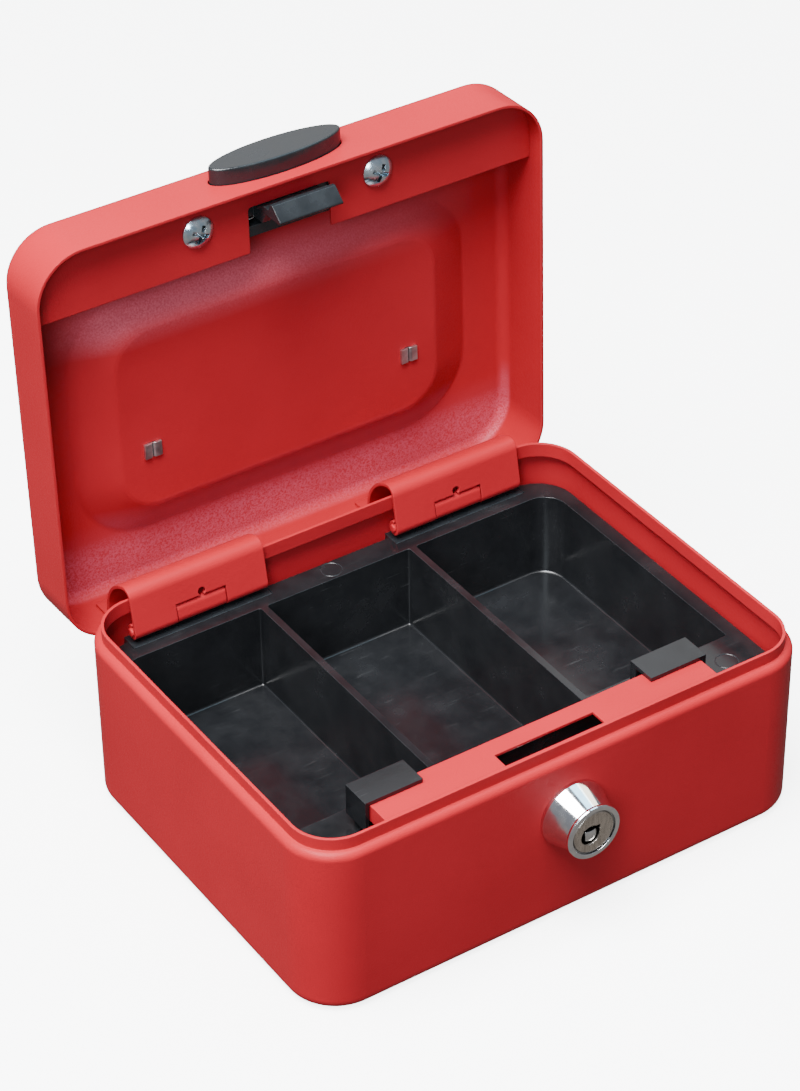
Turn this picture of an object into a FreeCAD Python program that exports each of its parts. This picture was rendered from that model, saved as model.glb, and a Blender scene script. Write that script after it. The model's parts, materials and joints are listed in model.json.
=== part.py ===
import FreeCAD, Part
import math
import os

# Steel cash box, 6 inch class, modelled with the lid standing open.
# Origin: middle of the underside. +X right, +Y back, +Z up, front at -Y. Millimetres.
V = FreeCAD.Vector

# ---- driving dimensions: box shells ----
WIDTH = 152.0
DEPTH = 116.0
CORNER_R = 14.0
SHEET = 0.8
BOTTOM_R = 3.0
STEP_IN = 2.1
STEP_Z = 50.6
RIM_Z = 54.0
LID_GAP = 0.8
LID_H = 18.6
LID_TOP_R = 3.8
# ---- hinge ----
PIN_Y = 54.09
PIN_Z = 44.24
PIN_R = 1.2
OPEN_DEG = 91.7
LEAF_T = 0.9
LEAF_X0 = 20.7
LEAF_X1 = 61.3
WINDOW_X0 = 33.2
WINDOW_X1 = 48.5
WINDOW_TOP_Z = 48.6
LEG_LEAN_DEG = 10.9
ARC_R = 12.55
# ---- latch plate inside the front of the base ----
SHELF_Z = 51.6
SHELF_X0 = -52.5
SHELF_X1 = 48.1
SHELF_BACK_Y = -42.4
SLOT_X0 = -16.9
SLOT_X1 = 13.1
SLOT_Y0 = -52.5
SLOT_Y1 = -47.6
# ---- coin tray ----
TRAY_TOP_Z = 41.0
TRAY_WALL = 1.2
TRAY_FLOOR_Z = 15.5
TRAY_X0 = -69.8
TRAY_X1 = 68.7
TRAY_Y0 = -33.5
TRAY_Y1 = 47.6
DIVIDER_T = 2.0
NOTCH_Y = 51.3
DIVIDER_X = (-24.9, 22.5)
WELL_FRONT_Y = (-33.5, -32.4, -31.2)
# ---- lid fittings (positions in the closed lid) ----
PLATE_SETBACK = 5.2
PLATE_EDGE_Y = -37.2
SCREW_X = 27.0
SCREW_Y = -48.6
SCREW_HEAD_R = 4.4
SCREW_HEAD_H = 2.5
BUTTON_HALF_W = 19.4
BUTTON_HALF_H = 5.4
BUTTON_RISE = 4.5
BUTTON_X = -0.6
BUTTON_Z = 61.0
HOOK_X0 = -9.7
HOOK_X1 = 9.1
DISH_DEPTH = 4.5
DISH_Y = 6.5
DISH_HALF_X = 61.0
DISH_HALF_Y = 35.5
DISH_CREST_R = 3.4
DISH_ROOT_R = 2.6
CLIP_X = 40.2
CLIP_Y = 15.8
CLIP_W = 4.3
BAIL_R = 1.5
# ---- lock ----
LOCK_X = -0.5
LOCK_Z = 32.8
LOCK_BASE_R = 9.6
LOCK_NECK_R = 7.2
LOCK_LIP_R = 7.9
LOCK_PROUD = 9.7
PLUG_R = 6.1
KEY_DX = -1.0
KEY_DZ = -0.5
BARREL_R = 7.6
BARREL_END_Y = -46.2
PLUG_END_Y = -45.8
CAM_T = 1.5
CAM_REACH = 16.0
CAM_HALF_W = 4.5
CAM_SCREW_R = 1.6

LID_RIM_Z = STEP_Z + LID_GAP
LID_TOP_Z = LID_RIM_Z + LID_H
INNER_Y = DEPTH / 2 - SHEET
FRONT_Y = -DEPTH / 2
PLATE_Z = LID_RIM_Z + PLATE_SETBACK
DISH_Z = LID_TOP_Z - DISH_DEPTH
PIVOT_Z = DISH_Z + 2.2
BAIL_REST_DEG = 9.5


# ---- general shape helpers ----
def box(x0, x1, y0, y1, z0, z1):
    return Part.makeBox(x1 - x0, y1 - y0, z1 - z0, V(x0, y0, z0))


def round_rect(x0, x1, y0, y1, r, z):
    """Closed wire: a rectangle with four equal corner radii at height z."""
    k = r * (1 - math.sqrt(0.5))
    edges = [
        Part.makeLine(V(x0 + r, y0, z), V(x1 - r, y0, z)),
        Part.Arc(V(x1 - r, y0, z), V(x1 - k, y0 + k, z), V(x1, y0 + r, z)).toShape(),
        Part.makeLine(V(x1, y0 + r, z), V(x1, y1 - r, z)),
        Part.Arc(V(x1, y1 - r, z), V(x1 - k, y1 - k, z), V(x1 - r, y1, z)).toShape(),
        Part.makeLine(V(x1 - r, y1, z), V(x0 + r, y1, z)),
        Part.Arc(V(x0 + r, y1, z), V(x0 + k, y1 - k, z), V(x0, y1 - r, z)).toShape(),
        Part.makeLine(V(x0, y1 - r, z), V(x0, y0 + r, z)),
        Part.Arc(V(x0, y0 + r, z), V(x0 + k, y0 + k, z), V(x0 + r, y0, z)).toShape(),
    ]
    return Part.Wire(edges)


def prism(x0, x1, y0, y1, r, z0, z1):
    return Part.Face(round_rect(x0, x1, y0, y1, r, z0)).extrude(V(0, 0, z1 - z0))


def shell_prism(inset, z0, z1):
    """Upright prism with the outline of the box moved in by inset."""
    hx = WIDTH / 2 - inset
    hy = DEPTH / 2 - inset
    return prism(-hx, hx, -hy, hy, CORNER_R - inset, z0, z1)


def edges_at_z(shape, z):
    found = []
    for e in shape.Edges:
        b = e.BoundBox
        if abs(b.ZMin - z) < 1e-4 and abs(b.ZMax - z) < 1e-4:
            found.append(e)
    return found


def cyl_y(x, z, r, y0, y1):
    return Part.makeCylinder(r, y1 - y0, V(x, y0, z), V(0, 1, 0))


def cyl_z(x, y, r, z0, z1):
    return Part.makeCylinder(r, z1 - z0, V(x, y, z0), V(0, 0, 1))


def cyl_x(y, z, r, x0, x1):
    return Part.makeCylinder(r, x1 - x0, V(x0, y, z), V(1, 0, 0))


def polygon_x(points, x0, x1):
    """Extrude a closed (y, z) polygon from x0 to x1."""
    pts = [V(x0, y, z) for y, z in points]
    return Part.Face(Part.makePolygon(pts + pts[:1])).extrude(V(x1 - x0, 0, 0))


def ribbon(start, heading_deg, moves, t, to3d, sweep):
    """Bent sheet strip: a band of thickness t along a path of ("L", length) and ("A", radius, turn) moves."""
    u, v = start
    h = math.radians(heading_deg)
    left = []
    right = []

    def side(pu, pv, ang, off):
        return (pu - off * math.sin(ang), pv + off * math.cos(ang))

    for move in moves:
        a = side(u, v, h, t / 2)
        b = side(u, v, h, -t / 2)
        if move[0] == "L":
            u += move[1] * math.cos(h)
            v += move[1] * math.sin(h)
            left.append((a, None, side(u, v, h, t / 2)))
            right.append((b, None, side(u, v, h, -t / 2)))
            continue
        r = move[1]
        turn = math.radians(move[2])
        s = 1 if turn > 0 else -1
        cu, cv = side(u, v, h, s * r)
        stops = []
        for part in (0.5, 1.0):
            hh = h + turn * part
            stops.append((cu + s * r * math.sin(hh), cv - s * r * math.cos(hh), hh))
        mid, end = stops
        left.append((a, side(*mid, t / 2), side(*end, t / 2)))
        right.append((b, side(*mid, -t / 2), side(*end, -t / 2)))
        u, v, h = end
    edges = []

    def add(p, m, q):
        if m is None:
            edges.append(Part.makeLine(to3d(*p), to3d(*q)))
        else:
            edges.append(Part.Arc(to3d(*p), to3d(*m), to3d(*q)).toShape())

    for p, m, q in left:
        add(p, m, q)
    add(left[-1][2], None, right[-1][2])
    for p, m, q in reversed(right):
        add(q, m, p)
    add(right[0][0], None, left[0][0])
    wire = Part.Wire(Part.__sortEdges__(edges))
    return Part.Face(wire).extrude(sweep)


def opened(shape):
    """Carry a shape from the closed lid to the lid standing open."""
    out = shape.copy()
    out.rotate(V(0, PIN_Y, PIN_Z), V(1, 0, 0), -OPEN_DEG)
    return out


def mirrored_x(shape):
    return shape.mirror(V(0, 0, 0), V(1, 0, 0))


def save(name, *solids):
    shape = solids[0] if len(solids) == 1 else Part.makeCompound(list(solids))
    shape.exportStep("parts/" + name + ".step")
    print(name, shape.isValid(), len(shape.Solids), round(shape.Volume, 1))


# ---- base ----
def base_shell():
    body = shell_prism(0, 0, STEP_Z)
    body = body.makeFillet(BOTTOM_R, edges_at_z(body, 0))
    body = body.makeFillet(STEP_IN - 0.01, edges_at_z(body, STEP_Z))
    rim = shell_prism(STEP_IN, STEP_Z - 1.0, RIM_Z)
    body = body.fuse(rim)
    hollow = shell_prism(SHEET, SHEET, STEP_Z - SHEET)
    hollow = hollow.makeFillet(BOTTOM_R - SHEET, edges_at_z(hollow, SHEET))
    hollow = hollow.makeFillet(STEP_IN - SHEET, edges_at_z(hollow, STEP_Z - SHEET))
    mouth = shell_prism(STEP_IN + SHEET, STEP_Z - 2.0, RIM_Z + 1)
    body = body.cut(hollow.fuse(mouth))
    body = body.cut(cyl_y(LOCK_X, LOCK_Z, BARREL_R + 0.1, FRONT_Y - 1, FRONT_Y + 3))
    return body.removeSplitter()


def latch_plate():
    """Shelf across the front of the base: bent-up weld edge, turned-down ends, slot for the latch hook."""
    face_y = FRONT_Y + STEP_IN + SHEET
    upstand = 1.0
    bend = 0.9
    end_drop = 5.0
    path = [("L", upstand), ("A", bend, 90), ("L", SHELF_BACK_Y - face_y - SHEET / 2 - bend)]
    z_mid = SHELF_Z - SHEET / 2

    def place(u, v):
        return V(SHELF_X0, u, v)

    start = (face_y + SHEET / 2, z_mid + bend + upstand)
    plate = ribbon(start, -90, path, SHEET, place, V(SHELF_X1 - SHELF_X0, 0, 0))
    plate = plate.cut(box(SLOT_X0, SLOT_X1, SLOT_Y0, SLOT_Y1, SHELF_Z - 3, SHELF_Z + 3))
    for x in (SHELF_X0, SHELF_X1 - SHEET):
        plate = plate.fuse(box(x, x + SHEET, -53.0, SHELF_BACK_Y, SHELF_Z - end_drop, SHELF_Z - 0.2))
    return plate.removeSplitter()


def tray_rest():
    """Moulded ledge on the back wall under a hinge: lip under the tray rim, block in the rim's notch."""
    x0 = LEAF_X0 - 0.8
    x1 = LEAF_X1 + 0.8
    lip_top = TRAY_TOP_Z - TRAY_WALL - 0.1
    wall = 1.2
    leg_h = 7.0
    leg = box(x0, x1, INNER_Y - wall, INNER_Y, lip_top - leg_h, lip_top)
    lip = box(x0, x1, TRAY_Y1 + TRAY_WALL + 0.4, INNER_Y, lip_top - wall, lip_top)
    block = box(x0, x1, NOTCH_Y + 0.2, INNER_Y, lip_top - wall, TRAY_TOP_Z - 0.05)
    return leg.fuse(lip).fuse(block).removeSplitter()


def hinge_loop():
    """Strap up the back wall, forward over the pin and rolled down round the front of it."""
    rc = PIN_R + 0.02 + SHEET / 2
    y_mid = INNER_Y - SHEET / 2
    bend = 0.9
    crown = 1.2
    foot_z = 41.3
    lean = math.radians(LEG_LEAN_DEG)
    over_z = PIN_Z + 3.4
    drop = (over_z - crown - PIN_Z) * math.cos(lean)
    path = [
        ("L", over_z - bend - foot_z),
        ("A", bend, 90),
        ("L", y_mid - bend - PIN_Y),
        ("A", crown, 90 - LEG_LEAN_DEG),
        ("L", drop),
        ("A", rc, 190),
    ]

    def place(u, v):
        return V(WINDOW_X0 + 0.3, u, v)

    return ribbon((y_mid, foot_z), 90, path, SHEET, place, V(WINDOW_X1 - WINDOW_X0 - 0.6, 0, 0))


def hinge_pin():
    pin = cyl_x(PIN_Y, PIN_Z, PIN_R, LEAF_X0 - 0.6, LEAF_X1 + 0.6)
    return pin.makeChamfer(0.25, [e for e in pin.Edges if len(e.Vertexes) == 1])


def hinge_leaf():
    """Gooseneck leaf: rolled on the pin, leg, arc struck from the pin over the rim, weld foot on the lid."""
    rc = PIN_R + 0.05 + LEAF_T / 2
    lean = math.radians(LEG_LEAN_DEG)
    leg_h = 90 - LEG_LEAN_DEG
    top_r = 2.5
    foot_r = 1.5
    foot_len = 5.5
    hole_r = 1.1
    n = (-math.cos(lean), math.sin(lean))
    d = (math.sin(lean), math.cos(lean))
    off = rc - top_r
    leg_len = math.sqrt((ARC_R - top_r) ** 2 - off ** 2)
    c_ang = math.degrees(math.atan2(off * n[1] + leg_len * d[1], off * n[0] + leg_len * d[0]))
    wall = INNER_Y - PIN_Y
    lift = foot_r + LEAF_T / 2 - wall
    end_ang = math.degrees(math.asin(lift / (ARC_R + foot_r))) - (OPEN_DEG - 90)
    roll = 285
    start_h = math.radians(leg_h + roll)
    start = (PIN_Y - rc * math.sin(start_h), PIN_Z + rc * math.cos(start_h))
    path = [
        ("A", rc, -roll),
        ("L", leg_len),
        ("A", top_r, -(leg_h - (c_ang - 90))),
        ("A", ARC_R, -(c_ang - end_ang)),
        ("A", foot_r, -(OPEN_DEG - 90) - (end_ang - 90)),
        ("L", foot_len),
    ]

    def place(u, v):
        return V(LEAF_X0, u, v)

    leaf = ribbon(start, leg_h + roll, path, LEAF_T, place, V(LEAF_X1 - LEAF_X0, 0, 0))
    window = box(WINDOW_X0, WINDOW_X1, 50, 57, 40, WINDOW_TOP_Z)
    hole = cyl_y((WINDOW_X0 + WINDOW_X1) / 2 - 0.4, WINDOW_TOP_Z + 1.0, hole_r, 50, 57)
    return leaf.cut(window.fuse(hole))


# ---- lid (built closed, then opened) ----
def dish(grow, z_top, z_low):
    """Recess of the lid top with sloping sides, wider at the ends than at the front and back."""
    hx = DISH_HALF_X + grow
    hy = DISH_HALF_Y + grow
    end_slope = 12
    side_slope = 9
    top_r = 20 + grow
    low_r = 11 + grow
    outer = round_rect(-hx, hx, DISH_Y - hy, DISH_Y + hy, top_r, z_top)
    hx -= end_slope
    hy -= side_slope
    inner = round_rect(-hx, hx, DISH_Y - hy, DISH_Y + hy, low_r, z_low)
    return Part.makeLoft([outer, inner], True, True)


def lid_shell():
    body = shell_prism(0, LID_RIM_Z, LID_TOP_Z)
    body = body.makeFillet(LID_TOP_R, edges_at_z(body, LID_TOP_Z))
    hollow = shell_prism(SHEET, LID_RIM_Z - 1, LID_TOP_Z - SHEET)
    hollow = hollow.makeFillet(LID_TOP_R - SHEET, edges_at_z(hollow, LID_TOP_Z - SHEET))
    boss = dish(0.35, LID_TOP_Z - SHEET, DISH_Z - SHEET)
    boss = boss.makeFillet(DISH_CREST_R, edges_at_z(boss, DISH_Z - SHEET))
    hollow = hollow.cut(boss)
    hollow = hollow.makeFillet(DISH_ROOT_R, edges_at_z(hollow, LID_TOP_Z - SHEET))
    body = body.cut(hollow)
    recess = dish(0, LID_TOP_Z, DISH_Z)
    recess = recess.makeFillet(DISH_ROOT_R, edges_at_z(recess, DISH_Z))
    body = body.cut(recess)
    crest = []
    for e in edges_at_z(body, LID_TOP_Z):
        b = e.BoundBox
        across = max(-b.XMin, b.XMax) < DISH_HALF_X + 0.5
        along = max(DISH_Y - b.YMin, b.YMax - DISH_Y) < DISH_HALF_Y + 0.5
        if across and along:
            crest.append(e)
    body = body.makeFillet(DISH_CREST_R, crest)
    window = button_outline(0.35, FRONT_Y - 2, 4)
    body = body.cut(window)
    half = CLIP_W / 2 + 0.1
    for x in (-CLIP_X, CLIP_X):
        body = body.cut(box(x - 1.0, x + 1.0, CLIP_Y - half, CLIP_Y + half, DISH_Z - 3, DISH_Z + 3))
    return body


def button_outline(grow, y0, length):
    ellipse = Part.Ellipse(V(0, 0, 0), BUTTON_HALF_W + grow, BUTTON_HALF_H + grow).toShape()
    face = Part.Face(Part.Wire([ellipse]))
    face.rotate(V(0, 0, 0), V(1, 0, 0), 90)
    face.translate(V(BUTTON_X, y0, BUTTON_Z))
    return face.extrude(V(0, length, 0))


def lid_plate():
    """Strip welded across the inside of the lid front, open notch for the latch."""
    plate = shell_prism(SHEET, PLATE_Z, PLATE_Z + SHEET)
    plate = plate.cut(box(-80, 80, PLATE_EDGE_Y, 80, PLATE_Z - 1, PLATE_Z + 2))
    notch = prism(-11.9, 12.7, -50.3, PLATE_EDGE_Y + 5, 1.0, PLATE_Z - 1, PLATE_Z + 2)
    plate = plate.cut(notch)
    relief = box(BUTTON_X - 20.5, BUTTON_X + 20.5, -INNER_Y - 1, -54.8, PLATE_Z - 1, PLATE_Z + 2)
    plate = plate.cut(relief)
    for x in (-SCREW_X, SCREW_X):
        plate = plate.cut(cyl_z(x, SCREW_Y, 2.1, PLATE_Z - 1, PLATE_Z + 2))
    return plate


def plate_screw(x):
    """Domed cross-recess screw, driven upward into the latch housing."""
    edge_h = 0.6
    dome_h = SCREW_HEAD_H - edge_h
    ball_r = (SCREW_HEAD_R ** 2 + dome_h ** 2) / (2 * dome_h)
    z_low = PLATE_Z - SCREW_HEAD_H
    ball = Part.makeSphere(ball_r, V(x, SCREW_Y, z_low + ball_r))
    head = cyl_z(x, SCREW_Y, SCREW_HEAD_R, z_low, PLATE_Z).common(ball)
    screw = head.fuse(cyl_z(x, SCREW_Y, 1.95, PLATE_Z - 0.2, PLATE_Z + 7.5))
    for turn in (0, 90):
        bar = box(x - 2.5, x + 2.5, SCREW_Y - 0.55, SCREW_Y + 0.55, z_low - 1, z_low + 1.5)
        bar.rotate(V(x, SCREW_Y, 0), V(0, 0, 1), 25 + turn)
        screw = screw.cut(bar)
    return screw.removeSplitter()


def latch_housing():
    """Moulded guide screwed behind the plate; the hook carriage slides in its channel."""
    z0 = PLATE_Z + SHEET
    body = prism(-31.5, 31.5, -54.6, -41.3, 1.5, z0, z0 + 8.2)
    channel = box(-16.3, 16.3, -60, -44.3, z0 - 1, z0 + 6.9)
    body = body.cut(channel)
    for x in (-SCREW_X, SCREW_X):
        body = body.cut(cyl_z(x, SCREW_Y, 2.0, z0 - 1, z0 + 7.4))
    return body


def push_button():
    head = button_outline(0, FRONT_Y - BUTTON_RISE, BUTTON_RISE + 0.6)
    rim = []
    for e in head.Edges:
        b = e.BoundBox
        if abs(b.YMin - (FRONT_Y - BUTTON_RISE)) < 1e-4 and abs(b.YMax - (FRONT_Y - BUTTON_RISE)) < 1e-4:
            rim.append(e)
    head = head.makeFillet(0.5, rim)
    stem = box(-12, 12, FRONT_Y + 0.5, -54.0, 58.5, 63.0)
    return head.fuse(stem).removeSplitter()


def latch_hook():
    """Carriage with two spring pockets and a ramped hook that drops through the slot of the base."""
    carriage = box(-15.5, 15.5, -54.0, -47.0, PLATE_Z + 1.1, PLATE_Z + 7.2)
    profile = [
        (-46.7, PLATE_Z + 2),
        (-46.7, 53.6),
        (-49.9, 51.9),
        (-49.9, 43.9),
        (-53.9, 48.2),
        (-53.9, 49.2),
        (-52.0, 50.2),
        (-52.0, 52.4),
        (-50.0, 55.2),
        (-50.0, PLATE_Z + 2),
    ]
    hook = polygon_x(profile, HOOK_X0, HOOK_X1)
    nose = [e for e in hook.Edges if abs(e.BoundBox.ZMax - 43.9) < 1e-4 and e.BoundBox.XLength > 10]
    hook = hook.makeFillet(0.5, nose)
    body = carriage.fuse(hook)
    for x in (-10, 10):
        body = body.cut(cyl_y(x, BUTTON_Z - 0.3, 2.6, -52.6, -46))
    return body.removeSplitter()


def latch_spring(x):
    wire = 0.25
    pitch = 1.5
    turns = 5
    radius = 2.0
    helix = Part.makeHelix(pitch, pitch * turns, radius)
    start = Part.Wire([Part.Circle(V(radius, 0, 0), V(0, 1, 0), wire).toShape()])
    coil = Part.Wire(helix.Edges).makePipeShell([start], True, True)
    coil.rotate(V(0, 0, 0), V(1, 0, 0), -90)
    coil.translate(V(x, -52.2, BUTTON_Z - 0.3))
    return coil


def handle_clip(x):
    """Strip folded double through a slot in the lid, tabs clinched outward underneath."""
    t = 0.8
    r = 0.43
    bend = 0.5
    z_tab = DISH_Z - SHEET - t / 2
    rise = PIVOT_Z + 2.4 - r - t / 2 - (z_tab + bend)
    tab = 1.6
    path = [
        ("L", tab),
        ("A", bend, 90),
        ("L", rise),
        ("A", r, -180),
        ("L", rise),
        ("A", bend, 90),
        ("L", tab),
    ]

    def place(u, v):
        return V(x + u, CLIP_Y - CLIP_W / 2, v)

    clip = ribbon((-r - bend - tab, z_tab), 0, path, t, place, V(0, CLIP_W, 0))
    return clip.cut(cyl_x(CLIP_Y, PIVOT_Z, BAIL_R + 0.05, x - 3, x + 3))


def handle_bail():
    """Wire bail, laid back on the lid behind its pivots."""
    half = 44.0
    reach = 28.3
    r1 = 2.3
    r2 = 9.0
    z = PIVOT_Z
    y0 = CLIP_Y
    y1 = CLIP_Y + reach
    k1 = r1 * (1 - math.sqrt(0.5))
    k2 = r2 * (1 - math.sqrt(0.5))
    pts = [V(-37.6, y0, z), V(-half + r1, y0, z), V(-half + k1, y0 + k1, z), V(-half, y0 + r1, z),
           V(-half, y1 - r2, z), V(-half + k2, y1 - k2, z), V(-half + r2, y1, z)]
    other = [V(-p.x, p.y, p.z) for p in reversed(pts)]
    edges = [
        Part.makeLine(pts[0], pts[1]),
        Part.Arc(pts[1], pts[2], pts[3]).toShape(),
        Part.makeLine(pts[3], pts[4]),
        Part.Arc(pts[4], pts[5], pts[6]).toShape(),
        Part.makeLine(pts[6], other[0]),
        Part.Arc(other[0], other[1], other[2]).toShape(),
        Part.makeLine(other[2], other[3]),
        Part.Arc(other[3], other[4], other[5]).toShape(),
        Part.makeLine(other[5], other[6]),
    ]
    section = Part.Wire([Part.Circle(pts[0], V(1, 0, 0), BAIL_R).toShape()])
    bail = Part.Wire(edges).makePipeShell([section], True, False)
    bail.rotate(V(0, CLIP_Y, PIVOT_Z), V(1, 0, 0), BAIL_REST_DEG)
    return bail


# ---- lock ----
def turned(profile):
    """Revolve (radius, y) points about the lock axis."""
    pts = [V(LOCK_X + r, y, LOCK_Z) for r, y in profile]
    return Part.Face(Part.makePolygon(pts + pts[:1])).revolve(V(LOCK_X, 0, LOCK_Z), V(0, 1, 0), 360)


def lock_body():
    """Cone-shaped bezel with a raised lip in front of the wall, barrel behind it."""
    bore = PLUG_R + 0.05
    groove = bore + 0.35
    face = FRONT_Y - LOCK_PROUD
    profile = [
        (bore, face + 0.7),
        (groove, face + 0.7),
        (groove, face + 0.15),
        (groove + 0.15, face),
        (LOCK_LIP_R - 0.5, face),
        (LOCK_LIP_R - 0.15, face + 0.15),
        (LOCK_LIP_R, face + 0.5),
        (LOCK_LIP_R - 0.1, face + 1.1),
        (LOCK_NECK_R, face + 1.5),
        (LOCK_BASE_R, FRONT_Y - 0.9),
        (LOCK_BASE_R, FRONT_Y),
        (BARREL_R, FRONT_Y),
        (BARREL_R, BARREL_END_Y),
        (bore, BARREL_END_Y),
    ]
    return turned(profile)


def lock_plug():
    face = FRONT_Y - LOCK_PROUD + 0.3
    plug = turned([(0, face), (PLUG_R - 0.2, face), (PLUG_R, face + 0.2), (PLUG_R, PLUG_END_Y), (0, PLUG_END_Y)])
    plug = plug.cut(cyl_y(LOCK_X + KEY_DX, LOCK_Z + KEY_DZ, 2.9, face - 1, face + 4.0))
    slot = box(LOCK_X - 3.2, LOCK_X + 1.9, face - 1, face + 13, LOCK_Z + 0.7, LOCK_Z + 1.9)
    plug = plug.cut(slot)
    return plug.cut(cyl_y(LOCK_X, LOCK_Z, CAM_SCREW_R, PLUG_END_Y - 5.2, PLUG_END_Y + 1))


def lock_shutter():
    """Sprung dust flap: a domed disc low in the key hole, leaving the slot open above and to the left."""
    face = FRONT_Y - LOCK_PROUD + 0.3
    x = LOCK_X + KEY_DX + 0.3
    z = LOCK_Z + KEY_DZ - 0.3
    flap = cyl_y(x, z, 2.45, face + 0.2, face + 3.9)
    flap = flap.common(Part.makeSphere(4.4, V(x + 0.2, face + 4.65, z - 0.4)))
    flap = flap.cut(box(x - 4, x + 4, face - 1, face + 5, LOCK_Z + 0.3, LOCK_Z + 5))
    return flap.cut(box(x - 5, x - 1.5, face - 1, face + 5, LOCK_Z - 5, LOCK_Z + 5))


def lock_nut():
    across = 19.0
    thick = 3.0
    r = across / math.sqrt(3)
    pts = []
    for i in range(6):
        a = math.radians(60 * i)
        pts.append(V(LOCK_X + r * math.cos(a), -INNER_Y, LOCK_Z + r * math.sin(a)))
    nut = Part.Face(Part.makePolygon(pts + pts[:1])).extrude(V(0, thick, 0))
    return nut.cut(cyl_y(LOCK_X, LOCK_Z, BARREL_R + 0.02, -INNER_Y - 1, -INNER_Y + 5))


def lock_cam():
    """Arm behind the plug with a bent tongue; shown unlocked, pointing right."""
    y0 = PLUG_END_Y
    y1 = y0 + CAM_T
    tip = LOCK_X + CAM_REACH
    tongue_l = 3.7
    hub = cyl_y(LOCK_X, LOCK_Z, 6.0, y0, y1)
    arm = box(LOCK_X, tip, y0, y1, LOCK_Z - CAM_HALF_W, LOCK_Z + CAM_HALF_W)
    tongue = box(tip - CAM_T, tip, y0 - tongue_l, y1, LOCK_Z - CAM_HALF_W, LOCK_Z + CAM_HALF_W)
    cam = hub.fuse(arm).fuse(tongue).removeSplitter()
    cam = cam.cut(cyl_y(LOCK_X, LOCK_Z, CAM_SCREW_R, y0 - 1, y1 + 1))
    corner = []
    for e in cam.Edges:
        b = e.BoundBox
        if abs(b.XMin - tip) < 1e-4 and abs(b.YMin - y1) < 1e-4 and b.ZLength > CAM_HALF_W:
            corner.append(e)
    return cam.makeFillet(1.2, corner)


def cam_screw():
    """Pan head screw with a cross recess that holds the cam on the plug."""
    seat = PLUG_END_Y + CAM_T
    top = seat + 1.8
    shank_l = 6.2
    head = cyl_y(LOCK_X, LOCK_Z, 3.5, seat, top)
    screw = head.fuse(cyl_y(LOCK_X, LOCK_Z, CAM_SCREW_R - 0.05, seat - shank_l, seat))
    rim = []
    for e in screw.Edges:
        b = e.BoundBox
        if abs(b.YMax - top) < 1e-4 and abs(b.YMin - top) < 1e-4:
            rim.append(e)
    screw = screw.makeFillet(0.7, rim)
    for half_x, half_z in ((2.0, 0.4), (0.4, 2.0)):
        bar = box(LOCK_X - half_x, LOCK_X + half_x, top - 0.9, top + 1, LOCK_Z - half_z, LOCK_Z + half_z)
        screw = screw.cut(bar)
    return screw.removeSplitter()


# ---- tray ----
def well_block(x0, x1, ys, z0, z1, front_r, left_r, right_r, floor_r):
    """Solid block with its own front, back left and back right corner radii and a rounded floor edge."""
    y0, y1 = ys
    block = box(x0, x1, y0, y1, z0, z1)
    for x, y, r in ((x0, y1, left_r), (x1, y1, right_r), (x0, y0, front_r), (x1, y0, front_r)):
        post = [e for e in block.Edges if e.BoundBox.ZLength > 20 and abs(e.BoundBox.Center.x - x) < 0.01
                and abs(e.BoundBox.Center.y - y) < 0.01]
        block = block.makeFillet(r, post)
    return block.makeFillet(floor_r, edges_at_z(block, z0))


def compartment(x0, x1, front_y, left_r, right_r):
    """Coin well: big radii at its outer back corners, nearly sharp elsewhere."""
    return well_block(x0, x1, (front_y, TRAY_Y1), TRAY_FLOOR_Z, TRAY_TOP_Z + 1, 0.8, left_r, right_r, 0.7)


def tray_rim():
    """Flat rim, cut back at the hinge leaves and along the latch shelf, so that it lifts straight out."""
    z0 = TRAY_TOP_Z - TRAY_WALL
    half_x = 72.8
    half_y = 54.8
    corner_r = 11.0
    rim = prism(-half_x, half_x, -half_y, half_y, corner_r, z0, TRAY_TOP_Z)
    rim = rim.cut(box(SHELF_X0 - 0.4, SHELF_X1 + 2.2, -60, SHELF_BACK_Y + 0.6, z0 - 1, TRAY_TOP_Z + 1))
    rim = rim.cut(box(-36.3, 31.3, -60, TRAY_Y0 - TRAY_WALL - 1.0, z0 - 1, TRAY_TOP_Z + 1))
    for s in (-1, 1):
        xs = sorted((s * (LEAF_X0 - 1.0), s * (LEAF_X1 + 1.0)))
        rim = rim.cut(box(xs[0], xs[1], NOTCH_Y, 60, z0 - 1, TRAY_TOP_Z + 1))
    return rim


def tray_hook(x0, x1, skirt_x0, leg_x0, leg_x1):
    """Hanger: upright leg behind the shelf, pad over it, side skirt past its end."""
    pad_z = SHELF_Z + 0.1
    pad = box(x0, x1, -46.3, -37.6, pad_z, pad_z + 1.2)
    leg = box(leg_x0, leg_x1, -39.8, -37.6, TRAY_TOP_Z - 0.5, pad_z + 1.2)
    skirt = box(skirt_x0, skirt_x0 + 1.1, -46.3, -37.6, 43.9, pad_z + 1.2)
    return pad.fuse(leg).fuse(skirt)


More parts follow.
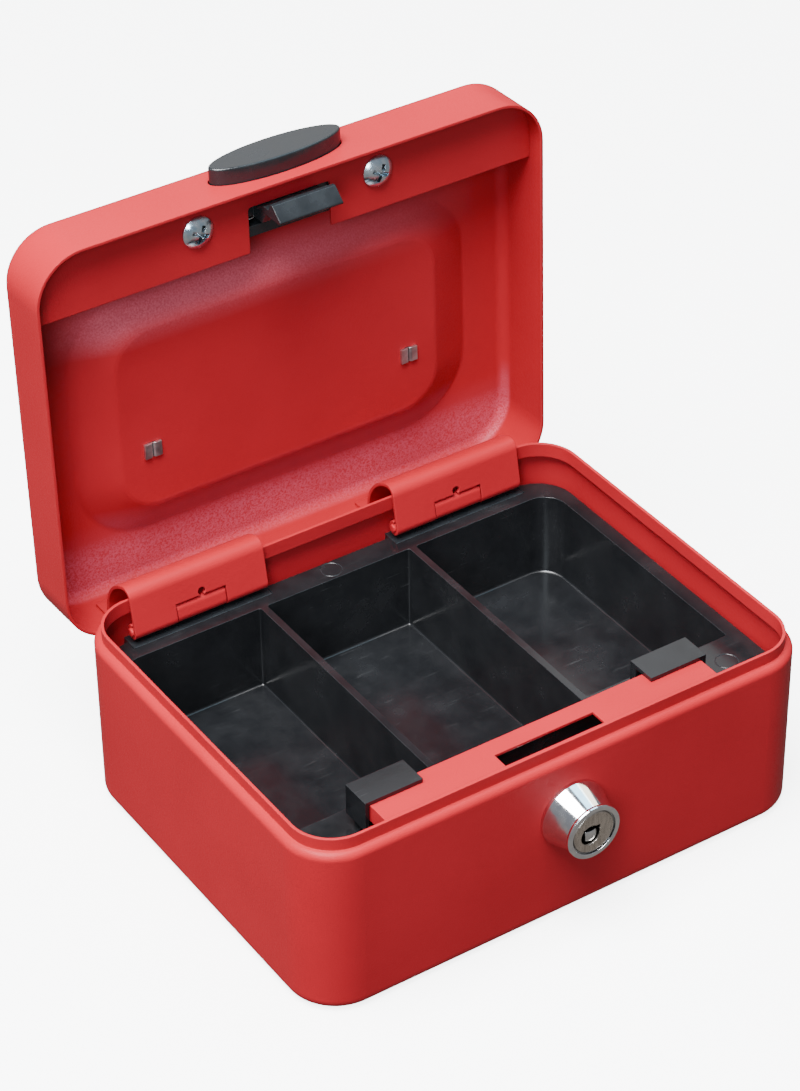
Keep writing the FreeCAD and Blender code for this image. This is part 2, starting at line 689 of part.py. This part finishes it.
def coin_tray():
    w = TRAY_WALL
    sides = (TRAY_Y0 - w, TRAY_Y1 + w)
    tub = well_block(TRAY_X0 - w, TRAY_X1 + w, sides, TRAY_FLOOR_Z - w, TRAY_TOP_Z, 2.0, 8.2, 8.2, 1.8)
    tray = tub.fuse(tray_rim())
    left, right = DIVIDER_X
    half = DIVIDER_T / 2
    fronts = WELL_FRONT_Y
    tray = tray.cut(compartment(TRAY_X0, left - half, fronts[0], 7.0, 0.8))
    tray = tray.cut(compartment(left + half, right - half, fronts[1], 0.8, 0.8))
    tray = tray.cut(compartment(right + half, TRAY_X1, fronts[2], 0.8, 7.0))
    tray = tray.fuse(tray_hook(-54.0, -37.2, -54.0, -51.6, -37.2))
    tray = tray.fuse(tray_hook(32.2, 49.6, 48.5, 32.2, 47.2))
    for x, y in ((62.0, -39.9), (-1.2, 51.4)):
        ring = cyl_z(x, y, 3.1, TRAY_TOP_Z - 0.15, TRAY_TOP_Z + 1)
        ring = ring.cut(cyl_z(x, y, 2.8, TRAY_TOP_Z - 1, TRAY_TOP_Z + 2))
        tray = tray.cut(ring)
    return tray.removeSplitter()


def main():
    os.makedirs("parts", exist_ok=True)
    save("base_shell", base_shell())
    save("latch_plate", latch_plate())
    rest = tray_rest()
    save("tray_rests", rest, mirrored_x(rest))
    loop = hinge_loop()
    save("hinge_loops", loop, mirrored_x(loop))
    pin = hinge_pin()
    save("hinge_pins", pin, mirrored_x(pin))
    leaf = hinge_leaf()
    save("hinge_leaf_right", leaf)
    save("hinge_leaf_left", mirrored_x(leaf))
    save("lid_shell", opened(lid_shell()))
    save("lid_plate", opened(lid_plate()))
    save("plate_screws", opened(plate_screw(-SCREW_X)), opened(plate_screw(SCREW_X)))
    save("latch_housing", opened(latch_housing()))
    save("push_button", opened(push_button()))
    save("latch_hook", opened(latch_hook()))
    save("latch_springs", opened(latch_spring(-10)), opened(latch_spring(10)))
    save("handle_clips", opened(handle_clip(-CLIP_X)), opened(handle_clip(CLIP_X)))
    save("handle_bail", opened(handle_bail()))
    save("lock_body", lock_body())
    save("lock_plug", lock_plug())
    save("lock_shutter", lock_shutter())
    save("lock_nut", lock_nut())
    save("lock_cam", lock_cam())
    save("cam_screw", cam_screw())
    save("coin_tray", coin_tray())


main()
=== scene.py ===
import json
import math

import bpy
from mathutils import Matrix, Vector


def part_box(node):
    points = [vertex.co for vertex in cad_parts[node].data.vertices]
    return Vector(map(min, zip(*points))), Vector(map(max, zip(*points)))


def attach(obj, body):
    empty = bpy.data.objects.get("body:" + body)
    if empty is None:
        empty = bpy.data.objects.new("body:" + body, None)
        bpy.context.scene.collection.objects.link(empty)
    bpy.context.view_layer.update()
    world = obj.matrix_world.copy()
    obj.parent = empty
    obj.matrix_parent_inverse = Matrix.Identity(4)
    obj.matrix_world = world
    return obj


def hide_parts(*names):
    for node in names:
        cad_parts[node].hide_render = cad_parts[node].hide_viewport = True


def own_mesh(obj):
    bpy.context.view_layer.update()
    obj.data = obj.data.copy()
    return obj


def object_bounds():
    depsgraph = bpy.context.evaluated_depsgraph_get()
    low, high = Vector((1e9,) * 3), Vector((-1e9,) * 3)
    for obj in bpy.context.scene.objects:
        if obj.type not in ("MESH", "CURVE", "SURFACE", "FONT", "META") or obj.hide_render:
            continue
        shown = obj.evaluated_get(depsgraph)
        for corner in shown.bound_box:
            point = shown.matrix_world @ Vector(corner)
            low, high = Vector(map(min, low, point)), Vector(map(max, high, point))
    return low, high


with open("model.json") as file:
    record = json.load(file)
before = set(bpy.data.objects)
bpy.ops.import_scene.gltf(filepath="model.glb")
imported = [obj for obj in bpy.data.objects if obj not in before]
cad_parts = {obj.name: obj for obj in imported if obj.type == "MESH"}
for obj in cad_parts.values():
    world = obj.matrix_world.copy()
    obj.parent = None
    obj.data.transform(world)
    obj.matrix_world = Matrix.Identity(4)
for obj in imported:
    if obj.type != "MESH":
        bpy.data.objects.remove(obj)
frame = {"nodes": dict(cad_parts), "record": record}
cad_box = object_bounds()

NODES = frame["nodes"]
MM = 0.001
LID_NODE = "lid_shell"
PLUG_NODE = "lock_plug"
CLIP_NODE = "handle_clips"

# ---- colours (linear RGB) ----
WHITE = (1.0, 1.0, 1.0)
RED_DEEP = (0.335, 0.0120, 0.0175)
RED_FULL = (0.375, 0.0140, 0.0205)
RED_PIT = (0.19, 0.005, 0.009)
RED_THIN_LIT_EDGE = (0.50, 0.045, 0.048)
STRIP_SHEEN_PINK = (0.60, 0.125, 0.20)
SHEEN_PINK = (0.72, 0.14, 0.19)
LOW_SHEEN_PINK = (0.50, 0.10, 0.16)
TRAY_DARK = (0.0060, 0.0064, 0.0074)
TRAY_LIGHT = (0.0110, 0.0116, 0.0130)
TRAY_SCUFF = (0.058, 0.060, 0.062)
TRAY_EDGE = (0.046, 0.048, 0.053)
MOULDING_DARK = (0.0084, 0.0100, 0.0118)
MOULDING_LIGHT = (0.0125, 0.0146, 0.0170)
MOULDING_EDGE = (0.06, 0.062, 0.068)
ZINC = ((0.50, 0.68, 0.82), (0.78, 0.87, 0.93))
CHROME = ((0.70, 0.72, 0.76), (0.82, 0.83, 0.84))
SPRING = ((0.60, 0.62, 0.63), (0.78, 0.79, 0.80))
CLIP = ((0.50, 0.51, 0.53), (0.70, 0.71, 0.72))
NICKEL_DARK = (0.48, 0.435, 0.39)
NICKEL_LIGHT = (0.66, 0.60, 0.54)
METAL_WORN = (0.9, 0.9, 0.9)
METAL_CREVICE_SHADE = (0.03, 0.032, 0.036)
PLUG_GAP_SHADE = (0.020, 0.017, 0.014)
PAPER_DARK = (0.90, 0.90, 0.90)
PAPER_LIGHT = (0.92, 0.92, 0.92)
GROUND = (0.92, 0.86, 0.80)
SKY = (0.95, 1.00, 1.10)
COOL_WHITE = (0.82, 0.93, 1.0)
WARM_WHITE = (1.0, 0.98, 0.95)
PALE_BLUE = (0.45, 0.80, 1.0)
CREAM = (1.0, 0.90, 0.70)

# ---- painted sheen on the inside of the lid (mm, lid open: where each starts, is full, fades and ends) ----
STRIP_SHEEN_Y = (73.0, 75.5, 79.4, 79.5)
STRIP_SHEEN_Z = (39.5, 43.0, 51.0, 57.5)
SHEEN_X = (-68.0, -50.0, -12.0, 66.0)
SHEEN_Y = (75.5, 78.5, 82.6, 82.8)
SHEEN_Z = (113.0, 119.0, 123.0, 131.0)
LOW_SHEEN_Y = (74.6, 75.4, 79.0, 79.6)
LOW_SHEEN_Z = (50.0, 56.0, 60.0, 66.0)

# ---- studio (metres, watts) ----
TARGET = (0, 0, 0.06)
FLOOR_HALF = 3.0
FLOOR_GAP = 0.0002
FLOOR_GLOW = 4.5
SURROUND_STRENGTH = 0.30
# name, place, size, power, colour
LAMPS = [
    ("overhead", (-0.42, -0.15, 1.30), (0.9, 0.9), 83, WHITE),
    ("front_fill", (-0.68, -0.72, 0.66), (0.35, 0.35), 8, COOL_WHITE),
    ("left_fill", (-1.15, 0.45, 0.45), (0.7, 0.7), 3, WHITE),
    ("back_card", (0.80, 1.25, 1.12), (1.2, 0.9), 4.0, WARM_WHITE),
    ("blue_card", (0.50, 0.05, 1.20), (0.5, 0.6), 4.6, PALE_BLUE),
    ("cream_card", (0.92, 0.22, 1.00), (0.22, 0.6), 1.8, CREAM),
]

# ---- camera (metres, degrees, millimetres) ----
EYE = (-0.39325, -0.58089, 0.59431)
AZIMUTH = -33.229
ELEVATION = 36.258
ROLL = -0.671
LENS = 113.73
SENSOR = 36.0
CLIP_START = 0.01


# ---- node helpers ----
# Sockets of a Mix node that mixes colours: its float and vector sockets have the same names.
MIX_FACTOR, MIX_A, MIX_B, MIX_RESULT = 0, 6, 7, 2


class Mat:
    """One procedural material: a Principled shader and short calls that add texture nodes to it."""

    def __init__(self, name):
        self.mat = bpy.data.materials.new(name)
        self.mat.use_nodes = True
        self.tree = self.mat.node_tree
        self.shader = self.tree.nodes["Principled BSDF"]
        self.coords = self.add("ShaderNodeTexCoord").outputs["Object"]

    def add(self, kind, **settings):
        node = self.tree.nodes.new(kind)
        for key, value in settings.items():
            setattr(node, key, value)
        return node

    def link(self, out, socket):
        self.tree.links.new(out, socket)

    def set(self, **values):
        for key, value in values.items():
            self.shader.inputs[key.replace("_", " ")].default_value = value

    def noise(self, size_mm, detail=2.0, rough=0.5, stretch=(1, 1, 1)):
        """Noise whose blobs are about size_mm across."""
        mapping = self.add("ShaderNodeMapping")
        mapping.inputs["Scale"].default_value = stretch
        self.link(self.coords, mapping.inputs["Vector"])
        node = self.add("ShaderNodeTexNoise")
        node.inputs["Scale"].default_value = 1 / (size_mm * MM)
        node.inputs["Detail"].default_value = detail
        node.inputs["Roughness"].default_value = rough
        self.link(mapping.outputs["Vector"], node.inputs["Vector"])
        return node.outputs["Fac"]

    def ramp(self, fac, stops):
        """Two colours, given as (place, colour), over a 0..1 texture."""
        node = self.add("ShaderNodeValToRGB")
        for element, (place, colour) in zip(node.color_ramp.elements, stops):
            element.position = place
            element.color = (*colour, 1)
        self.link(fac, node.inputs["Fac"])
        return node.outputs["Color"]

    def span(self, fac, low, high, from_low=0.3, from_high=0.7):
        """Map from_low..from_high to low..high; a value beyond either end stays at that end."""
        node = self.add("ShaderNodeMapRange")
        node.inputs["From Min"].default_value = from_low
        node.inputs["From Max"].default_value = from_high
        node.inputs["To Min"].default_value = low
        node.inputs["To Max"].default_value = high
        self.link(fac, node.inputs["Value"])
        return node.outputs["Result"]

    def mix(self, fac, colour, other):
        """Blend a textured colour towards a plain one."""
        node = self.add("ShaderNodeMix", data_type="RGBA")
        self.link(fac, node.inputs[MIX_FACTOR])
        self.link(colour, node.inputs[MIX_A])
        node.inputs[MIX_B].default_value = (*other, 1)
        return node.outputs[MIX_RESULT]

    def times(self, a, b):
        node = self.add("ShaderNodeMath", operation="MULTIPLY")
        self.link(a, node.inputs[0])
        self.link(b, node.inputs[1])
        return node.outputs["Value"]

    def band(self, axis, start_mm, full_mm, fade_mm, end_mm):
        """1 from full_mm to fade_mm along one axis of the object, 0 before start_mm and after end_mm."""
        split = self.add("ShaderNodeSeparateXYZ")
        self.link(self.coords, split.inputs["Vector"])
        along = split.outputs[axis]
        rise = self.span(along, low=0.0, high=1.0, from_low=start_mm * MM, from_high=full_mm * MM)
        fall = self.span(along, low=1.0, high=0.0, from_low=fade_mm * MM, from_high=end_mm * MM)
        return self.times(rise, fall)

    def facing_front(self):
        """1 on faces that look to -Y in the object's own frame, 0 on the rest."""
        normal = self.add("ShaderNodeTexCoord").outputs["Normal"]
        split = self.add("ShaderNodeSeparateXYZ")
        self.link(normal, split.inputs["Vector"])
        return self.span(split.outputs["Y"], low=1.0, high=0.0, from_low=-0.4, from_high=-0.05)

    def rounded(self, reach_mm):
        """The surface normal, rounded over reach_mm at the edges."""
        bevel = self.add("ShaderNodeBevel", samples=6)
        bevel.inputs["Radius"].default_value = reach_mm * MM
        return bevel.outputs["Normal"]

    def edges(self, reach_mm):
        """1 on the edges, 0 on the flats: how far a rounded normal leans from the true one."""
        rounded = self.rounded(reach_mm)
        geometry = self.add("ShaderNodeNewGeometry")
        dot = self.add("ShaderNodeVectorMath", operation="DOT_PRODUCT")
        self.link(rounded, dot.inputs[0])
        self.link(geometry.outputs["Normal"], dot.inputs[1])
        return self.span(dot.outputs["Value"], low=1.0, high=0.0, from_low=0.75, from_high=0.97)

    def crevices(self, reach_mm):
        """1 in narrow slots and recesses, 0 out in the open."""
        node = self.add("ShaderNodeAmbientOcclusion", samples=8)
        node.inputs["Distance"].default_value = reach_mm * MM
        return self.span(node.outputs["AO"], low=1.0, high=0.0, from_low=0.15, from_high=0.65)

    def bump(self, layers, edge_mm):
        """Stack bumps, given as (height, depth_mm), on a normal that is rounded over edge_mm at the edges."""
        normal = self.rounded(edge_mm)
        for height, depth_mm in layers:
            node = self.add("ShaderNodeBump")
            node.inputs["Strength"].default_value = 1.0
            node.inputs["Distance"].default_value = depth_mm * MM
            self.link(height, node.inputs["Height"])
            self.link(normal, node.inputs["Normal"])
            normal = node.outputs["Normal"]
        self.link(normal, self.shader.inputs["Normal"])


# ---- materials ----
def powder_coat(name, painted_sheen):
    """Satin red powder coat: pebbled grain over a slow orange peel, a little thin and lighter along the sheet
    edges, partly a painted highlight.

    The lid's copy has painted sheen inside: a speckled, pinkish painted sheen over the flat strip above the
    hinges, one along the upper slope of the recess and a faint one on its lower slope.
    """
    m = Mat(name)
    grain = m.noise(size_mm=0.5, detail=2.0, rough=0.6)
    pits = m.noise(size_mm=0.21, detail=2.0, rough=0.7)
    peel = m.noise(size_mm=2.1, detail=1.0)
    cloud = m.noise(size_mm=34, detail=2.0)
    colour = m.ramp(cloud, [(0.3, RED_DEEP), (0.7, RED_FULL)])
    speck = m.span(pits, low=0.0, high=0.22, from_low=0.56, from_high=0.72)
    colour = m.mix(speck, colour, RED_PIT)
    if painted_sheen:
        inside = m.facing_front()
        # painted sheen: speckled pink colour on the inner strip above the hinges, standing in for light the
        # paint catches there
        strip_sheen = m.times(m.band("Z", *STRIP_SHEEN_Z), m.band("Y", *STRIP_SHEEN_Y))
        strip_sheen = m.times(strip_sheen, inside)
        strip_sheen = m.times(strip_sheen, m.span(grain, low=0.12, high=0.55, from_low=0.35, from_high=0.62))
        strip_sheen = m.times(strip_sheen, m.span(cloud, low=0.75, high=1.0))
        colour = m.mix(strip_sheen, colour, STRIP_SHEEN_PINK)
        # painted sheen along the upper slope of the recess and the strip under the plate, strongest at the
        # left
        sheen = m.times(m.band("Z", *SHEEN_Z), m.band("Y", *SHEEN_Y))
        sheen = m.times(m.times(sheen, inside), m.band("X", *SHEEN_X))
        colour = m.mix(m.times(sheen, m.span(grain, low=0.45, high=0.85)), colour, SHEEN_PINK)
        # faint painted sheen on the lower slope of the recess
        haze_and_sheen = m.times(m.band("Z", *LOW_SHEEN_Z), m.band("Y", *LOW_SHEEN_Y))
        haze_and_sheen = m.times(haze_and_sheen, inside)
        colour = m.mix(m.times(haze_and_sheen, m.span(grain, low=0.2, high=0.4)), colour, LOW_SHEEN_PINK)
    # lighter along the sheet edges: the thin coat there, with a painted highlight on top
    edge = m.times(m.edges(reach_mm=0.45), m.span(m.noise(size_mm=1.6, detail=3.0), low=0.15, high=0.6))
    colour = m.mix(edge, colour, RED_THIN_LIT_EDGE)
    m.link(colour, m.shader.inputs["Base Color"])
    m.link(m.span(grain, low=0.36, high=0.52), m.shader.inputs["Roughness"])
    m.set(Specular_IOR_Level=0.14)
    m.bump([(peel, 0.03), (grain, 0.05), (pits, 0.012)], edge_mm=0.35)
    return m.mat


def tray_plastic():
    """Glossy black styrene with flow ripples, handling haze and fine scratches."""
    m = Mat("tray_plastic")
    haze_and_sheen = m.noise(size_mm=11, detail=4.0, rough=0.6)
    ripple = m.noise(size_mm=18, detail=1.0)
    fine = m.noise(size_mm=0.8, detail=2.0)
    scratch = m.noise(size_mm=0.45, detail=2.0, rough=0.5, stretch=(0.05, 1.0, 1.0))
    scuff = m.span(scratch, low=0.0, high=1.0, from_low=0.66, from_high=0.74)
    colour = m.ramp(haze_and_sheen, [(0.35, TRAY_DARK), (0.7, TRAY_LIGHT)])
    colour = m.mix(m.times(scuff, m.span(haze_and_sheen, low=0.0, high=0.4)), colour, TRAY_SCUFF)
    edge = m.times(m.edges(reach_mm=0.3), m.span(fine, low=0.2, high=0.7))
    colour = m.mix(edge, colour, TRAY_EDGE)
    m.link(colour, m.shader.inputs["Base Color"])
    m.link(m.span(haze_and_sheen, low=0.13, high=0.30), m.shader.inputs["Roughness"])
    m.bump([(ripple, 0.16), (fine, 0.005), (scratch, 0.004)], edge_mm=0.25)
    return m.mat


def latch_plastic():
    """Satin black moulding with a fine spark-eroded texture, polished a little along its edges."""
    m = Mat("latch_plastic")
    grain = m.noise(size_mm=0.3, detail=2.0)
    cloud = m.noise(size_mm=6, detail=2.0)
    colour = m.ramp(cloud, [(0.3, MOULDING_DARK), (0.7, MOULDING_LIGHT)])
    colour = m.mix(m.times(m.edges(reach_mm=0.3), m.span(grain, low=0.2, high=0.6)), colour, MOULDING_EDGE)
    m.link(colour, m.shader.inputs["Base Color"])
    m.link(m.span(cloud, low=0.20, high=0.32), m.shader.inputs["Roughness"])
    m.bump([(grain, 0.010)], edge_mm=0.25)
    return m.mat


def plated_steel(name, tints, rough, grain_mm, depth_mm, shade_mm=1.6):
    """Plated metal: slow change of tint, fine surface grain, duller in patches, painted shade in its
    crevices.
    """
    m = Mat(name)
    fine = m.noise(size_mm=grain_mm, detail=3.0)
    cloud = m.noise(size_mm=2.2, detail=2.0)
    colour = m.ramp(cloud, [(0.32, tints[0]), (0.62, tints[1])])
    colour = m.mix(m.times(m.edges(reach_mm=0.18), m.span(fine, low=0.1, high=0.5)), colour, METAL_WORN)
    # painted shade: darker where the surface is hemmed in, in screw recesses, grooves and slots
    colour = m.mix(m.crevices(reach_mm=shade_mm), colour, METAL_CREVICE_SHADE)
    m.link(colour, m.shader.inputs["Base Color"])
    m.link(m.span(cloud, *rough), m.shader.inputs["Roughness"])
    m.set(Metallic=1.0)
    m.bump([(fine, depth_mm)], edge_mm=0.15)
    return m.mat


def plug_metal():
    """Satin nickel face with fine, upright brush marks; painted shade on the metal behind it."""
    m = Mat("plug_metal")
    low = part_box("lock_plug")[0]
    face_mm = low[1] / MM
    fine = m.noise(size_mm=0.25, detail=3.0)
    streak = m.noise(size_mm=0.35, detail=2.0, rough=0.5, stretch=(1.0, 1.0, 0.12))
    colour = m.ramp(streak, [(0.35, NICKEL_DARK), (0.65, NICKEL_LIGHT)])
    # painted shade: the plug is dark behind its face, where it shows in the gap round it
    behind = m.band("Y", start_mm=face_mm + 0.25, full_mm=face_mm + 0.5, fade_mm=0.0, end_mm=1.0)
    colour = m.mix(behind, colour, PLUG_GAP_SHADE)
    m.link(colour, m.shader.inputs["Base Color"])
    m.link(m.span(fine, low=0.24, high=0.38), m.shader.inputs["Roughness"])
    m.set(Metallic=1.0)
    m.bump([(streak, 0.004), (fine, 0.003)], edge_mm=0.12)
    return m.mat


def dress_nodes():
    finish = {
        "powder_coat": powder_coat("powder_coat", painted_sheen=False),
        "tray_moulding": tray_plastic(),
        "black_moulding": latch_plastic(),
        "zinc_plate": plated_steel(
            "zinc_plate", ZINC, rough=(0.16, 0.30), grain_mm=0.4, depth_mm=0.006),
        "chrome_plate": plated_steel(
            "chrome_plate", CHROME, rough=(0.07, 0.13), grain_mm=0.3, depth_mm=0.0012),
        "spring_steel": plated_steel(
            "spring_steel", SPRING, rough=(0.14, 0.24), grain_mm=0.2, depth_mm=0.003),
    }
    for part in frame["record"]["subparts"]:
        mesh = NODES[part["node"]].data
        mesh.materials.clear()
        mesh.materials.append(finish[part["material_slot"]])
    NODES[LID_NODE].data.materials[0] = powder_coat("powder_coat_lid", painted_sheen=True)
    NODES[PLUG_NODE].data.materials[0] = plug_metal()
    # the clips get painted shade in their crevices over a shorter reach
    clip = plated_steel("clip_steel", CLIP, rough=(0.34, 0.44), grain_mm=0.4, depth_mm=0.006, shade_mm=0.9)
    NODES[CLIP_NODE].data.materials[0] = clip


def springs():
    """Stand-in for the button's two return springs: a copy of their mesh, carried with the lid."""
    coils = bpy.data.objects.new("return_springs", NODES["latch_springs"].data.copy())
    bpy.context.scene.collection.objects.link(coils)
    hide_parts("latch_springs")
    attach(coils, "lid")
    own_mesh(coils)


# ---- studio ----
def floor():
    """Pale, flat paper. It is bright, so it stays out of the box's own reflections and bounce light."""
    mesh = bpy.data.meshes.new("floor")
    level = cad_box[0][2] - FLOOR_GAP
    corners = [(x * FLOOR_HALF, y * FLOOR_HALF, level) for x, y in ((-1, -1), (1, -1), (1, 1), (-1, 1))]
    mesh.from_pydata(corners, [], [(0, 1, 2, 3)])
    plane = bpy.data.objects.new("floor", mesh)
    bpy.context.scene.collection.objects.link(plane)
    plane.visible_diffuse = False
    plane.visible_glossy = False
    m = Mat("floor_paper")
    paper = m.ramp(m.noise(size_mm=300, detail=2.0), [(0.3, PAPER_DARK), (0.7, PAPER_LIGHT)])
    m.link(paper, m.shader.inputs["Base Color"])
    m.set(Roughness=0.9, Emission_Color=(*WHITE, 1), Emission_Strength=FLOOR_GLOW)
    mesh.materials.append(m.mat)


def area_light(name, place, size, power, colour):
    data = bpy.data.lights.new(name, "AREA")
    data.shape = "RECTANGLE"
    data.size, data.size_y = size
    data.energy = power
    data.color = colour
    lamp = bpy.data.objects.new(name, data)
    lamp.location = place
    lamp.rotation_euler = (Vector(TARGET) - Vector(place)).to_track_quat("-Z", "Y").to_euler()
    bpy.context.scene.collection.objects.link(lamp)


def surround():
    """Soft surround: pale blue above, warm grey below."""
    world = bpy.data.worlds.new("studio")
    world.use_nodes = True
    tree = world.node_tree
    coords = tree.nodes.new("ShaderNodeTexCoord")
    split = tree.nodes.new("ShaderNodeSeparateXYZ")
    ramp = tree.nodes.new("ShaderNodeValToRGB")
    height = tree.nodes.new("ShaderNodeMapRange")
    height.inputs["From Min"].default_value = -0.5
    height.inputs["From Max"].default_value = 0.7
    ramp.color_ramp.elements[0].color = (*GROUND, 1)
    ramp.color_ramp.elements[1].color = (*SKY, 1)
    tree.links.new(coords.outputs["Generated"], split.inputs["Vector"])
    tree.links.new(split.outputs["Z"], height.inputs["Value"])
    tree.links.new(height.outputs["Result"], ramp.inputs["Fac"])
    tree.links.new(ramp.outputs["Color"], tree.nodes["Background"].inputs["Color"])
    tree.nodes["Background"].inputs["Strength"].default_value = SURROUND_STRENGTH
    bpy.context.scene.world = world


def camera():
    """Looking down at the front left corner of the open box."""
    azimuth = math.radians(AZIMUTH)
    elevation = math.radians(ELEVATION)
    roll = math.radians(ROLL)
    level = math.cos(elevation)
    back = Vector((math.sin(azimuth) * level, -math.cos(azimuth) * level, math.sin(elevation)))
    right = (-back).cross(Vector((0, 0, 1))).normalized()
    up = right.cross(-back)
    right, up = right * math.cos(roll) + up * math.sin(roll), up * math.cos(roll) - right * math.sin(roll)
    data = bpy.data.cameras.new("camera")
    data.sensor_width = SENSOR
    data.lens = LENS
    data.clip_start = CLIP_START
    eye = bpy.data.objects.new("camera", data)
    turn = Matrix((right, up, back)).transposed().to_4x4()
    eye.matrix_world = Matrix.Translation(EYE) @ turn
    bpy.context.scene.collection.objects.link(eye)
    bpy.context.scene.camera = eye


dress_nodes()
springs()
floor()
for lamp in LAMPS:
    area_light(*lamp)
surround()
camera()
